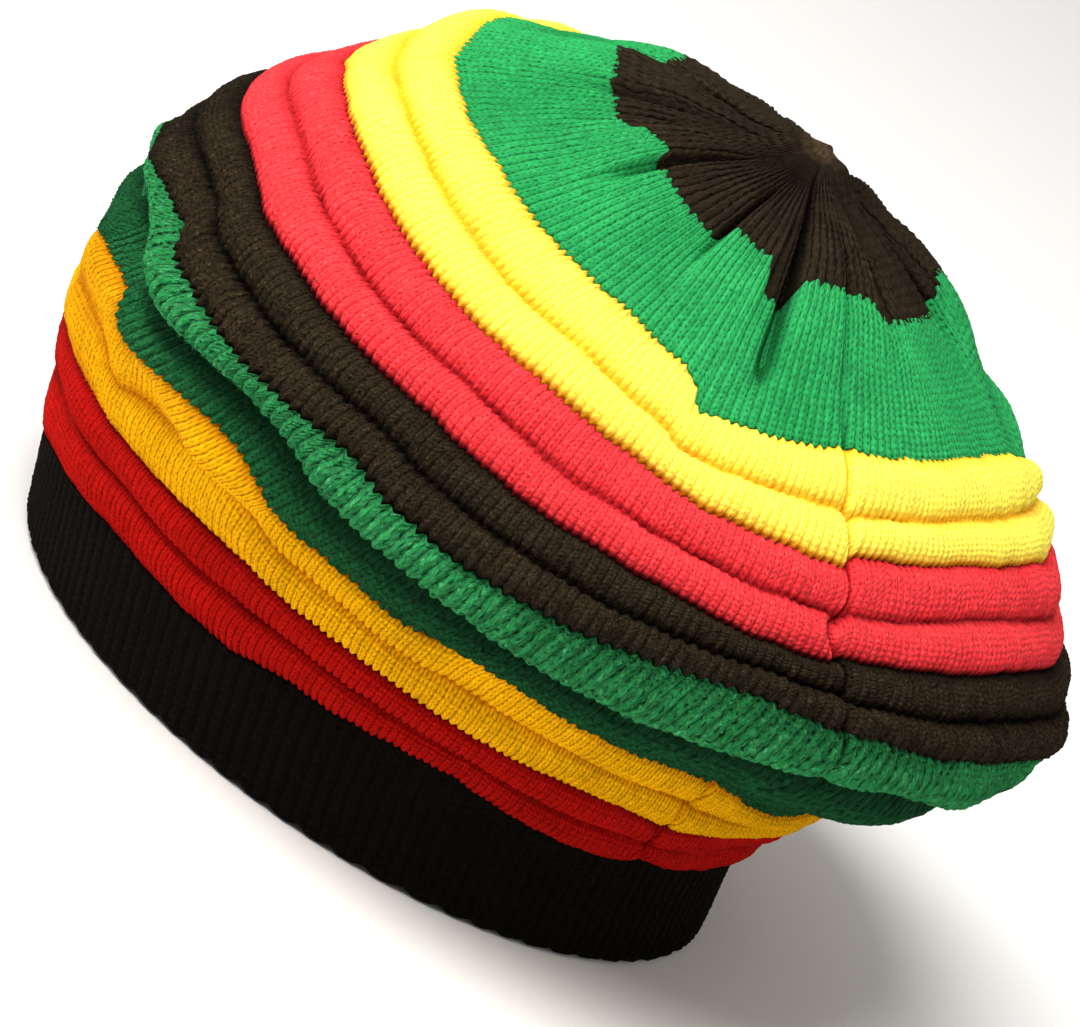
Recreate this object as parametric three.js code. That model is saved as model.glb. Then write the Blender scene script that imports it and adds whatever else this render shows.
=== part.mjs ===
// A slouchy knitted cap in nine striped bands, worn loose over the back of the head.
// Millimetres, +Z up, the front of the cap towards -Y and the wearer's left towards +X.
// The cap stands on the edge of its rim band, and z is 0 at that edge.
// Every band is a closed ring of knitted fabric with an outer and an inner face, open below and above,
// and the crown closes the top. The faces come from one skin: a smooth surface through the rings of
// the table below, raised into welts, creased and pleated by the other tables.
import * as THREE from 'three';

// Fabric
const WALL = 3;            // two layers of thick stitches
const HEM_WALL = 4.5;      // the rim band is turned up double
const HALF_GAP = 0.2;      // half of what is left free between one band and the next
const WELT = 2.4;          // how far the two rolls of a stripe stand out
const GROOVE = 0.8;        // how far the line between the rolls sinks in
const ROLL_POWER = 0.8;    // under 1 the rolls are fuller
const FLAT_ANGLE = 312;    // the rolls lie flatter round this angle
const FLAT_SPREAD = 22;
const FLAT_SHARE = 0.5;
const INNER_RELIEF = 0.8;  // the inner face follows the folds by this share
const NUB_HEIGHT = 2.5;    // the knot of stitches on top of it
const SEAM_BELOW = 90;     // the back seam at the rim, in degrees round from the wearer's left
const SEAM_ABOVE = 72;     // and on the slack top
const SEAM_LEAN = { from: 2, to: 5 };   // the bands up from the rim over which it leans across
const SEAM_SPREAD = 32;    // degrees over which the seam draws a ring up
const FRONT_ANGLE = 280;   // the slack top lies flatter over the front, round this angle
const FRONT_SPREAD = 34;
const RIDGE_ANGLE = 127;   // the slack top hangs over a ridge at this angle

// Fineness of the faces
const AROUND = 64;
const CROWN_INNER_END = 0.8;   // the rows under the crown start this far up it
const TOP = 9;                              // the number of bands

// The cap's own lengths put the middle of its box over the origin.
const RIM_MIDDLE = { x: -2.8, y: -12.7 };

// One row for each ring of the smooth surface. at counts the bands upwards from the rim.
// Sizes are mm, tiltBack is degrees with the back edge down, droop is how far the two sides of the
// ridge hang, seamLift is how far the back seam draws the ring up and frontPull how far it is drawn in
// at the front.
const RING_COLUMNS = [
  'at', 'height', 'back', 'left', 'halfWidth', 'halfLength', 'tiltBack', 'droop', 'seamLift', 'frontPull',
];
const RINGS = [
  [0, 0, 2, 0, 92, 99, 0, 0, 0, 0],
  [1, 29, -6, 1, 95, 104, 1, 0, 0, 0],
  [2, 49, -7, 1, 102, 113, 2, 0, 0, 0],
  [3, 69, -2, 2, 113, 119, 3, 0, 0, 2],
  [3.5, 78, 8, 2, 120, 124, 3.5, 0, 6, 6],
  [4, 92.5, 18, 3, 126, 130, 4.3, 0, 12, 10],
  [5, 117, 20, 4, 115, 121, 6, 7, 9, 15],
  [6, 138, 22, 5, 98, 104, 7, 8, 7, 16],
  [7, 155, 23, 5, 75, 83, 8.2, 9.8, 7, 8],
  [8, 171, 25, 3, 43, 46, 8.2, 4, 5, 3],
  [9, 182, 30.5, 7, 3, 3, 5, 0, 0, 0],
].map((row) => Object.fromEntries(RING_COLUMNS.map((name, k) => [name, row[k]])));

// Where the edge between two bands leaves its ring: round which angle, over how many degrees, and how
// far up, in bands
const EDGE_SHIFTS = [
  { edge: 1, angle: 320, wide: 22, up: -0.38 },
  { edge: 1, angle: 50, wide: 14, up: 0.17 },
  { edge: 2, angle: 318, wide: 10, up: -0.35 },
  { edge: 2, angle: 88, wide: 12, up: -0.15 },
  { edge: 3, angle: 336, wide: 15, up: 0.45 },
  { edge: 3, angle: 347.5, wide: 6, up: -0.45 },   // the green lip hangs down over the gold
  { edge: 3, angle: 6, wide: 12, up: 0.55 },       // the gold bulges up beside the lip
  { edge: 3, angle: 47, wide: 6, up: 0.2 },
  { edge: 3, angle: 98, wide: 16, up: -0.45 },
  { edge: 4, angle: 338, wide: 12, up: 0.22 },
  { edge: 4, angle: 8, wide: 18, up: 0.18 },
  { edge: 4, angle: 56, wide: 18, up: 0.16 },
  { edge: 4, angle: 98, wide: 20, up: 0.32 },
  { edge: 5, angle: 20, wide: 20, up: 0.15 },
  { edge: 5, angle: 100, wide: 20, up: 0.33 },
  { edge: 6, angle: 315, wide: 20, up: -0.2 },
  { edge: 6, angle: 28, wide: 12, up: 0.09 },
  { edge: 6, angle: 60, wide: 10, up: -0.09 },
  { edge: 6, angle: 100, wide: 20, up: 0.28 },
  { edge: 7, angle: 330, wide: 18, up: -0.16 },
  { edge: 7, angle: 24, wide: 18, up: 0.19 },
  { edge: 7, angle: 48, wide: 7, up: -0.17 },
  { edge: 7, angle: 103, wide: 22, up: 0.17 },
  { edge: 7, angle: 155, wide: 20, up: -0.4 },
  { edge: 8, angle: 318, wide: 20, up: -0.16 },
  { edge: 8, angle: 350, wide: 8, up: 0.08 },
  { edge: 8, angle: 36, wide: 8, up: 0.1 },
  { edge: 8, angle: 49, wide: 7, up: -0.2 },
  { edge: 8, angle: 86, wide: 8, up: -0.07 },
];

// The pleats that gather the top, as angles round the cap and depths at the edge of the crown
const PLEATS = [
  { angle: 1, depth: 4 },
  { angle: 29, depth: 5 },
  { angle: 51, depth: 8 },
  { angle: 84, depth: 5 },
  { angle: 127, depth: 4 },
  { angle: 160, depth: 5 },
  { angle: 197, depth: 4 },
  { angle: 231, depth: 5 },
  { angle: 265, depth: 4 },
  { angle: 300, depth: 5 },
  { angle: 332, depth: 4 },
];
const PLEAT_HALF_WIDTH = 6;   // degrees
const PLEAT_RISE = { from: 7.25, to: 7.9 };   // bands up from the rim
const PLEAT_FADE = { from: 8.2, to: 8.8 };

// Hollows and humps of the slack fabric: where, how wide in degrees and in bands, and how far out
const DENTS = [
  { angle: 334, at: 3.72, wide: 8, tall: 0.22, out: -6 },     // the pocket beside the lip at the left front
  { angle: 350, at: 3.25, wide: 8, tall: 0.28, out: 3.5 },    // the lip
  { angle: 346, at: 3.95, wide: 8, tall: 0.15, out: 2.5 },    // the end of the roll above the pocket
  { angle: 8, at: 3.22, wide: 9, tall: 0.32, out: 4.5 },      // the hump of the gold stripe
  { angle: 320, at: 3.75, wide: 12, tall: 0.3, out: -4 },
  { angle: 311, at: 2.75, wide: 15, tall: 0.75, out: -5.5 },  // the flat left front
  { angle: 100, at: 3.3, wide: 17, tall: 0.35, out: 4.5 },    // the bag hangs fuller at the back
  { angle: 112, at: 3.92, wide: 11, tall: 0.18, out: -4.5 },
];

// The fold that runs round the lower green stripe between two rolls of slack fabric. It lies higher
// at the left front. Heights are in bands.
const FOLD = { line: 3.6, higher: 0.3, angle: 350, wide: 35, tall: 0.13, depth: 5 };
const FOLD_ROLLS = [
  { above: 0.22, tall: 0.17, out: 2.2 },
  { above: -0.33, tall: 0.18, out: 1.5 },
];

const BLACK = 0x1c1812;
const GOLD = 0xe0ab12;
const YELLOW = 0xffe23a;
const RED = 0xe02a30;
const DARK_RED = 0xb81418;
const GREEN = 0x2fa060;
const DARK_GREEN = 0x1c6b44;

// One row for each band, from the rim up. from is its lower edge, steps and inside are the numbers of
// faces up its outer and its inner side.
const BANDS = [
  { node: 'rim_band', from: 0, wall: HEM_WALL, steps: 3, inside: 2, welts: false, color: BLACK },
  { node: 'lower_red_stripe', from: 1, wall: WALL, steps: 6, inside: 2, welts: true, color: DARK_RED },
  { node: 'lower_gold_stripe', from: 2, wall: WALL, steps: 6, inside: 2, welts: true, color: GOLD },
  { node: 'lower_green_stripe', from: 3, wall: WALL, steps: 8, inside: 4, welts: false, color: DARK_GREEN },
  { node: 'middle_black_stripe', from: 4, wall: WALL, steps: 6, inside: 2, welts: true, color: BLACK },
  { node: 'upper_red_stripe', from: 5, wall: WALL, steps: 6, inside: 2, welts: true, color: RED },
  { node: 'upper_yellow_stripe', from: 6, wall: WALL, steps: 6, inside: 2, welts: true, color: YELLOW },
  { node: 'upper_green_stripe', from: 7, wall: WALL, steps: 6, inside: 2, welts: false, color: GREEN },
  { node: 'crown', from: 8, wall: WALL, steps: 6, inside: 3, welts: false, color: BLACK },
];

const radians = THREE.MathUtils.degToRad;
const bump = (distance, width) => Math.exp(-((distance / width) ** 2));
const { smoothstep } = THREE.MathUtils;
const turnFrom = (angle, other) => THREE.MathUtils.euclideanModulo(angle - other + 180, 360) - 180;

function seamAngle(at) {
  return SEAM_BELOW + (SEAM_ABOVE - SEAM_BELOW) * smoothstep(at, SEAM_LEAN.from, SEAM_LEAN.to);
}

// The ring at a height between two rows: a smooth curve through all the rows of the table
function ringAt(at) {
  const last = RINGS.length - 1;
  const found = RINGS.findIndex((row) => row.at > at);
  const i = found < 0 ? last - 1 : Math.max(found - 1, 0);
  const span = RINGS[i + 1].at - RINGS[i].at;
  const t = (at - RINGS[i].at) / span;
  const slope = (k, name) => {
    const before = RINGS[Math.max(k - 1, 0)];
    const after = RINGS[Math.min(k + 1, last)];
    return (after[name] - before[name]) / (after.at - before.at);
  };
  const ring = {};
  for (const name of RING_COLUMNS) {
    ring[name] = (2 * t ** 3 - 3 * t ** 2 + 1) * RINGS[i][name]
      + (t ** 3 - 2 * t ** 2 + t) * span * slope(i, name)
      + (3 * t ** 2 - 2 * t ** 3) * RINGS[i + 1][name]
      + (t ** 3 - t ** 2) * span * slope(i + 1, name);
  }
  return ring;
}

// A point of the smooth surface, without welts or folds
function smoothPoint(angle, at) {
  const ring = ringAt(at);
  const turn = radians(angle);
  const pull = ring.frontPull * bump(turnFrom(angle, FRONT_ANGLE), FRONT_SPREAD);
  const across = (ring.halfWidth - pull) * Math.cos(turn);
  const along = (ring.halfLength - pull) * Math.sin(turn);
  const tilt = radians(ring.tiltBack);
  const lift = ring.seamLift * bump(turnFrom(angle, seamAngle(at)), SEAM_SPREAD);
  const hang = ring.droop * Math.sin(turn - radians(RIDGE_ANGLE)) ** 2;
  return new THREE.Vector3(
    RIM_MIDDLE.x + ring.left + across,
    RIM_MIDDLE.y + ring.back + along * Math.cos(tilt),
    ring.height - along * Math.sin(tilt) + lift - hang,
  );
}

// Straight out of the smooth surface, from its slopes round and up the cap
function outward(angle, at) {
  const turnStep = 0.5;
  const riseStep = 0.01;
  const low = Math.max(at - riseStep, 0);
  const high = Math.min(at + riseStep, TOP);
  const round = smoothPoint(angle + turnStep, at).sub(smoothPoint(angle - turnStep, at));
  const up = smoothPoint(angle, high).sub(smoothPoint(angle, low));
  return round.cross(up).normalize();
}

// Two rolls with a groove between them, once from edge to edge of a stripe
function rolls(angle, share) {
  const flatter = 1 - FLAT_SHARE * bump(turnFrom(angle, FLAT_ANGLE), FLAT_SPREAD);
  return flatter * ((WELT + GROOVE) * Math.abs(Math.sin(2 * Math.PI * share)) ** ROLL_POWER - GROOVE);
}

// How far the fabric stands out from the smooth surface apart from the rolls of its stripe
function folds(angle, at) {
  const line = FOLD.line + FOLD.higher * bump(turnFrom(angle, FOLD.angle), FOLD.wide);
  let out = -FOLD.depth * bump(at - line, FOLD.tall);
  for (const roll of FOLD_ROLLS) out += roll.out * bump(at - line - roll.above, roll.tall);
  for (const dent of DENTS) {
    out += dent.out * bump(turnFrom(angle, dent.angle), dent.wide) * bump(at - dent.at, dent.tall);
  }
  const gather = smoothstep(at, PLEAT_RISE.from, PLEAT_RISE.to)
    * (1 - smoothstep(at, PLEAT_FADE.from, PLEAT_FADE.to));
  for (const pleat of PLEATS) {
    out -= gather * pleat.depth * bump(turnFrom(angle, pleat.angle), PLEAT_HALF_WIDTH);
  }
  return out;
}

// The height of the line between two bands at an angle. gapSide is 1 for the lower edge of the band
// above the line, -1 for the upper edge of the band below it.
function edgeHeight(angle, edge, gapSide) {
  if (edge === 0 || edge === TOP) return edge;
  let at = edge;
  for (const shift of EDGE_SHIFTS) {
    if (shift.edge === edge) at += shift.up * bump(turnFrom(angle, shift.angle), shift.wide);
  }
  const probe = 0.02;
  const rise = smoothPoint(angle, at + probe).distanceTo(smoothPoint(angle, at - probe)) / (2 * probe);
  return at + gapSide * HALF_GAP / rise;
}

// One row of points round the cap, depth mm inside the outer face
function rowOfPoints(band, share, depth) {
  const points = [];
  for (let i = 0; i < AROUND; i += 1) {
    const angle = 360 * i / AROUND;
    const from = edgeHeight(angle, band.from, 1);
    const to = edgeHeight(angle, band.from + 1, -1);
    const at = from + (to - from) * share;
    const roll = band.welts && depth === 0 ? rolls(angle, share) : 0;
    const out = depth > 0 ? INNER_RELIEF * folds(angle, at) - depth : folds(angle, at) + roll;
    const point = smoothPoint(angle, at).addScaledVector(outward(angle, at), out);
    if (at === 0) point.z = 0;
    points.push(point);
  }
  return points;
}

// Joins rows of points into one closed skin. Each row is AROUND points, or one point at a pole.
function closedSkin(rows, closesOnItself) {
  const positions = rows.flat().flatMap((point) => point.toArray());
  const starts = [];
  let start = 0;
  for (const row of rows) {
    starts.push(start);
    start += row.length;
  }
  const faces = [];
  const pairs = closesOnItself ? rows.length : rows.length - 1;
  for (let k = 0; k < pairs; k += 1) {
    const next = (k + 1) % rows.length;
    for (let i = 0; i < AROUND; i += 1) {
      const j = (i + 1) % AROUND;
      const lowerHere = starts[k] + (rows[k].length > 1 ? i : 0);
      const lowerNext = starts[k] + (rows[k].length > 1 ? j : 0);
      const upperHere = starts[next] + (rows[next].length > 1 ? i : 0);
      const upperNext = starts[next] + (rows[next].length > 1 ? j : 0);
      if (rows[k].length > 1) faces.push(lowerHere, lowerNext, upperNext);
      if (rows[next].length > 1) faces.push(lowerHere, upperNext, upperHere);
    }
  }
  const geometry = new THREE.BufferGeometry();
  geometry.setAttribute('position', new THREE.Float32BufferAttribute(positions, 3));
  geometry.setIndex(faces);
  geometry.computeVertexNormals();
  return geometry;
}

// A ring of fabric: up the outer face and down the inner one
function bandGeometry(band) {
  const rows = [];
  for (let k = 0; k <= band.steps; k += 1) rows.push(rowOfPoints(band, k / band.steps, 0));
  for (let k = band.inside; k >= 0; k -= 1) rows.push(rowOfPoints(band, k / band.inside, band.wall));
  return closedSkin(rows, true);
}

// The crown is a cap: the outer face runs up to the nub and the inner face runs down from under it.
function crownGeometry(band) {
  const nubTop = new THREE.Vector3(0, 0, 0);
  const lastRow = rowOfPoints(band, 1, 0);
  for (const point of lastRow) nubTop.addScaledVector(point, 1 / AROUND);
  const ceiling = nubTop.clone();
  nubTop.z += NUB_HEIGHT;
  ceiling.z -= band.wall;
  const rows = [[ceiling]];
  for (let k = band.inside - 1; k >= 0; k -= 1) {
    rows.push(rowOfPoints(band, CROWN_INNER_END * k / (band.inside - 1), band.wall));
  }
  for (let k = 0; k <= band.steps; k += 1) rows.push(rowOfPoints(band, k / band.steps, 0));
  rows.push([nubTop]);
  return closedSkin(rows, false);
}

const cap = new THREE.Group();
for (const band of BANDS) {
  const geometry = band.node === 'crown' ? crownGeometry(band) : bandGeometry(band);
  const fabric = new THREE.MeshStandardMaterial({ color: band.color, roughness: 0.95, metalness: 0 });
  const mesh = new THREE.Mesh(geometry, fabric);
  mesh.name = band.node;
  cap.add(mesh);
}

export default cap;
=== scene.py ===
"""A slouchy knitted cap in nine striped bands, dressed with its knit.

Shapes are worked out in millimetres in the frame of the model and turned into metres at the end.
Angles go round the cap in degrees: 0 is the wearer's left, 90 the back. Heights on the fabric are
counted in bands: 0 is the rim's edge, 1 the line between the first and the second band, 9 the tip.
"""
import math

import bpy
import numpy as np
from mathutils import Matrix, Vector


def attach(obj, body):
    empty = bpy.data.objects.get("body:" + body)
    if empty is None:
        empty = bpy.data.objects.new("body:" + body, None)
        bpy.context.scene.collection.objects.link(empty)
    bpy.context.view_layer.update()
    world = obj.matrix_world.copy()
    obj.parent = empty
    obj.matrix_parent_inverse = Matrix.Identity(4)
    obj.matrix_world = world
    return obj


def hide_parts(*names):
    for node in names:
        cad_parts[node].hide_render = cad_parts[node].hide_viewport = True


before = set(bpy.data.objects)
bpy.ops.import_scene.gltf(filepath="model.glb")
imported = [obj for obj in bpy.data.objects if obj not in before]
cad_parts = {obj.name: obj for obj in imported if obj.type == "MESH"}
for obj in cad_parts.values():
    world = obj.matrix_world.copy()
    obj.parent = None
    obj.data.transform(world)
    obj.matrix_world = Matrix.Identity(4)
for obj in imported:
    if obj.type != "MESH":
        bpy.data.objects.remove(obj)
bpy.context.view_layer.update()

MM = 0.001

# Fabric, in millimetres
WALL = 3.0
HEM_WALL = 4.5
HEM_ROUND = 2.2          # radius of the turned edge
INNER_SHARE = 0.6        # how much of the folds' depth the inner side follows
CEILING_DROP = 3.5       # from the last ring of the outer side down to the tip of the inner one
NUB_RISE = 2.2
NUB_TIP = 2.0            # from the last ring up to the tip

# The two rolls of a stripe
WELT = 2.8               # how far they stand out, in mm
GROOVE = 0.9             # how far the lines beside them sink in, in mm
ROLL_POWER = 0.6         # under 1 makes the rolls round and the grooves between them narrow
WELT_WANDER = 0.15       # share by which their size wanders
WELT_WAVES = (4, 7, 11, 17)
SPLIT_WANDER = 0.03      # share of the stripe by which the groove between them wanders
SPLIT_WAVES = (3, 5, 9)
FLAT_ANGLE = 312.0       # they lie flatter at the left front
FLAT_SPREAD = 22.0
FLAT_SHARE = 0.5
GOLD_FLAT_ANGLE = 338.0  # and those of the gold stripe also here

# Where the smooth surface stands and leans
RIM_MIDDLE = (-2.8, -12.7)
LIFT_BELOW = 90.0        # the lift at the back lies at this angle below
LIFT_ABOVE = 72.0        # and at this one above
LIFT_TURNS = (2, 5)      # and turns from one to the other between these heights
LIFT_SPREAD = 32.0
FRONT_ANGLE = 280.0      # the slack top lies flatter over the front
FRONT_SPREAD = 34.0
RIDGE_ANGLE = 127.0      # the top droops to either side of this line
TOP = 9.0

AROUND = 1440            # points round each row
POINTS_PER_STITCH = 2    # points up each stitch
CROWN_ROWS_POWER = 0.9   # rows lie closer together near the tip

# Steps for slopes of the surface, in degrees and in bands
STEP_ROUND = 0.5
STEP_UP = 0.01
STEP_STRETCH = 0.02

WAVE_SIZES = (0.5, 1.0)   # smallest and largest wave of a random line, before they are added up
# Seeds of the random lines, to which the band's number is added
EDGE_SEED = 40
WELT_SEED = 60
TOOTH_SEED = 70
SPLIT_SEED = 80
LUMP_SEED = 90
FOLD_SEED = 7
RIM_SEED = 5

# One row for each ring of the smooth surface, as in the model's own source
RING_COLUMNS = ("at", "height", "back", "left", "half_width", "half_length", "tilt_back", "droop", "lift",
                "front_pull")
RINGS = np.array([
    (0.0,   0.0,  2, 0,  92,  99, 0.0, 0,  0,  0),
    (1.0,  29.0, -6, 1,  95, 104, 1.0, 0,  0,  0),
    (2.0,  49.0, -7, 1, 102, 113, 2.0, 0,  0,  0),
    (3.0,  69.0, -2, 2, 113, 119, 3.0, 0,  0,  2),
    (3.5,  78.0,  8, 2, 120, 124, 3.5, 0,  6,  6),
    (4.0,  92.5, 18, 3, 126, 130, 4.3, 0, 12, 10),
    (5.0, 117.0, 20, 4, 115, 121, 6.0, 7,  9, 15),
    (6.0, 138.0, 22, 5,  98, 104, 7.0, 8,  7, 16),
    (7.0, 155.0, 23, 5,  75,  83, 8.2, 9.8, 7,  8),
    (8.0, 171.0, 25, 3,  43,  46, 8.2, 4,  5,  3),
    (9.0, 182.0, 30.5, 7, 3,   3, 5.0, 0,  0,  0),
])

# How far the line at the top of a band leaves its ring: rows of (angle, bands up)
EDGE_WANDER = {
    1: [
        (300, -0.3), (316, -0.42), (324, -0.31), (332, -0.23), (344, -0.16), (356, -0.08), (10, -0.11),
        (20, -0.08), (27, 0.02), (36, 0.05), (44, 0.13), (54, 0.17), (62, 0.07), (72, 0.03), (80, 0.0),
        (86, 0.02), (87.5, 0.14), (89, 0.02), (96, -0.03), (110, -0.08), (124, -0.2), (200, 0.0),
    ],
    2: [
        (300, -0.3), (316, -0.45), (324, -0.22), (332, -0.13), (348, -0.11), (0, -0.05), (20, -0.08),
        (36, -0.02), (48, -0.02), (60, -0.05), (76, -0.09), (84, -0.17), (96, -0.13), (130, -0.2),
        (200, 0.0),
    ],
    3: [
        (300, -0.2), (316, -0.25), (321, 0.0), (328, 0.34), (336, 0.47), (341, 0.50), (344, 0.26),
        (346, -0.02), (349, -0.06), (352, 0.22), (356, 0.40), (4, 0.55), (9, 0.56), (13, 0.47),
        (16, 0.32), (19, 0.0), (22, -0.06), (37, -0.08), (41, 0.0), (44, 0.19), (48, 0.19), (54, 0.09),
        (64, 0.0), (76, -0.06), (84, -0.16), (90, -0.35), (98, -0.5), (120, -0.4), (160, -0.2),
        (220, 0.0),
    ],
    4: [
        (300, -0.15), (316, -0.07), (324, 0.09), (332, 0.22), (340, 0.26), (344, 0.09), (356, 0.08),
        (2, 0.09), (8, 0.16), (16, 0.25), (21, 0.14), (32, 0.09), (44, 0.11), (54, 0.16), (64, 0.24),
        (74, 0.15), (80, 0.23), (88, 0.24), (96, 0.35), (106, 0.40), (116, 0.33), (130, 0.1), (170, 0.0),
    ],
    5: [
        (300, -0.1), (318, -0.10), (336, 0.04), (346, -0.02), (4, 0.05), (20, 0.18), (34, 0.15),
        (42, 0.16), (52, 0.07), (60, -0.01), (70, 0.0), (71.5, 0.02), (73, 0.10), (80, 0.18), (92, 0.28),
        (104, 0.34), (116, 0.26), (128, 0.0), (140, -0.2), (152, -0.3), (165, -0.35), (180, -0.2),
        (240, 0.0),
    ],
    6: [
        (300, -0.2), (312, -0.20), (332, -0.08), (348, -0.04), (8, 0.01), (26, 0.12), (40, 0.07),
        (50, -0.03), (66, -0.07), (71.5, -0.06), (72.5, 0.09), (84, 0.19), (96, 0.30), (108, 0.27),
        (120, 0.16), (132, -0.08), (144, -0.25), (152, -0.45), (162, -0.50), (172, -0.35), (190, -0.15),
        (240, 0.0),
    ],
    7: [
        (300, 0.0), (318, -0.06), (325, -0.14), (340, -0.08), (0, 0.05), (12, 0.12), (25, 0.19),
        (38, 0.13), (41.5, 0.05), (43.5, -0.15), (47, -0.10), (53.5, -0.04), (60, -0.01), (70, 0.05),
        (71, 0.07), (74, 0.05), (81, 0.08), (90, 0.13), (101, 0.18), (115, 0.16), (128, 0.02),
        (140, -0.26), (145, -0.46), (150, -0.68), (156, -0.82), (162, -0.78), (170, -0.58), (182, -0.35),
        (200, -0.15), (240, 0.0),
    ],
    8: [
        (300, 0.06), (301.5, -0.20), (316, -0.15), (333, -0.14), (345.5, -0.17), (347.5, -0.06),
        (349, -0.02), (357, 0.02), (358.5, -0.04), (8, -0.07), (26, -0.06), (27.5, 0.04), (34, 0.03),
        (43, 0.0), (45, -0.20), (50, -0.22), (51.5, -0.12), (53, -0.08), (56, -0.03), (70, 0.0),
        (77, 0.0), (79.5, -0.10), (88, -0.07), (99, -0.01), (113, 0.01), (123, 0.02), (131, 0.07),
        (137, 0.14), (143, 0.10), (150, -0.03), (158, -0.05), (162, -0.15), (194, -0.12), (198, -0.06),
        (231, -0.14), (265, -0.10), (272, -0.05), (285, 0.08),
    ],
}
EDGE_BLUR = 9            # points over which its corners are rounded
EDGE_DRIFT = 0.25        # mm
EDGE_DRIFT_WAVES = (19, 31, 47, 71)
# The zigzag of stitches along that line: how many stitches round, and mm that it swings either way
EDGE_TEETH = {
    1: (326, 0.30), 2: (326, 0.35), 3: (326, 0.40), 4: (240, 0.70),
    5: (320, 0.40), 6: (270, 0.42), 7: (216, 0.55), 8: (120, 0.55),
}
TOOTH_SIZES = (0.55, 1.3)  # smallest and largest, as shares of that swing

# The back seam, which is drawn in: rows of (bands up, angle)
SEAM_LINE = [
    (0, 88), (1.28, 85), (1.6, 82.5), (3.4, 80), (4.06, 76.5), (4.26, 74.5), (4.6, 74), (5.02, 73.5),
    (5.1, 72), (5.26, 70.5), (5.4, 70.5), (5.52, 72), (5.6, 72.5), (6.0, 72), (6.54, 70.5), (7.0, 70),
    (8.0, 67.5), (9.0, 67),
]
SEAM_DEPTH = 2.2         # mm
SEAM_HALF = 0.65         # degrees
SEAM_STARTS = (0.9, 1.1)
SEAM_ENDS = (7.1, 7.5)
SEAM_SHADE_HALF = 0.3        # degrees of painted shade in the seam's groove to either side of its line
SEAM_SHADE_ENDS = (7.0, 7.3)
SEAM_JOG = -0.05         # the groove between two rolls meets the seam lower on its far side, as a share
SEAM_JOG_SPREAD = 9.0


def smooth_step(x, low, high):
    t = np.clip((x - low) / (high - low), 0, 1)
    return t * t * (3 - 2 * t)


def between(x, rises, falls):
    """1 between two places: it rises over the first pair of values and falls over the second."""
    return smooth_step(x, *rises) * (1 - smooth_step(x, *falls))


def bump(distance, width):
    return np.exp(-(distance / width) ** 2)


def turn_from(angle, other):
    return (angle - other + 180) % 360 - 180


def round_table(table, angle):
    """Values of a table of (angle, value) rows, read round the cap with straight lines between rows."""
    angles, values = np.array(table, dtype=float).T
    return np.interp(angle, angles, values, period=360)


def wobble(angle, seed, size, waves):
    """A smooth random line round the cap, the same on each run."""
    rng = np.random.default_rng(seed)
    total = np.zeros_like(angle)
    for wave in waves:
        total += rng.uniform(*WAVE_SIZES) * np.sin(np.radians(angle) * wave + rng.uniform(0, 2 * math.pi))
    return size * total / math.sqrt(len(waves))


def ring_at(at):
    """All columns of the ring table at the heights given, on a smooth curve through its rows."""
    heights = RINGS[:, 0]
    values = RINGS[:, 1:]
    slopes = np.empty_like(values)
    slopes[1:-1] = (values[2:] - values[:-2]) / (heights[2:] - heights[:-2])[:, None]
    slopes[0] = (values[1] - values[0]) / (heights[1] - heights[0])
    slopes[-1] = (values[-1] - values[-2]) / (heights[-1] - heights[-2])
    i = np.clip(np.searchsorted(heights, at, side="right") - 1, 0, len(heights) - 2)
    span = heights[i + 1] - heights[i]
    t = ((at - heights[i]) / span)[..., None]
    span = span[..., None]
    columns = ((2 * t ** 3 - 3 * t ** 2 + 1) * values[i] + (t ** 3 - 2 * t ** 2 + t) * span * slopes[i]
               + (3 * t ** 2 - 2 * t ** 3) * values[i + 1] + (t ** 3 - t ** 2) * span * slopes[i + 1])
    return dict(zip(RING_COLUMNS[1:], np.moveaxis(columns, -1, 0)))


def lift_angle(at):
    return LIFT_BELOW + (LIFT_ABOVE - LIFT_BELOW) * smooth_step(at, *LIFT_TURNS)


def smooth_points(angle, at):
    """Points of the surface without welts or folds, in millimetres."""
    ring = ring_at(at)
    turn = np.radians(angle)
    pull = ring["front_pull"] * bump(turn_from(angle, FRONT_ANGLE), FRONT_SPREAD)
    across = (ring["half_width"] - pull) * np.cos(turn)
    along = (ring["half_length"] - pull) * np.sin(turn)
    tilt = np.radians(ring["tilt_back"])
    lift = ring["lift"] * bump(turn_from(angle, lift_angle(at)), LIFT_SPREAD)
    hang = ring["droop"] * np.sin(turn - math.radians(RIDGE_ANGLE)) ** 2
    return np.stack([
        RIM_MIDDLE[0] + ring["left"] + across,
        RIM_MIDDLE[1] + ring["back"] + along * np.cos(tilt),
        ring["height"] - along * np.sin(tilt) + lift - hang,
    ], axis=-1)


def outward(angle, at):
    """The way out of the smooth surface, one unit long."""
    high = np.minimum(at + STEP_UP, TOP)
    low = np.maximum(at - STEP_UP, 0)
    round_way = smooth_points(angle + STEP_ROUND, at) - smooth_points(angle - STEP_ROUND, at)
    up_way = smooth_points(angle, high) - smooth_points(angle, low)
    normal = np.cross(round_way, up_way)
    return normal / np.linalg.norm(normal, axis=-1, keepdims=True)


def mm_per_band(angle, at):
    high = np.minimum(at + STEP_STRETCH, TOP)
    low = np.maximum(at - STEP_STRETCH, 0)
    return np.linalg.norm(smooth_points(angle, high) - smooth_points(angle, low), axis=-1) / (high - low)


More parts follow.
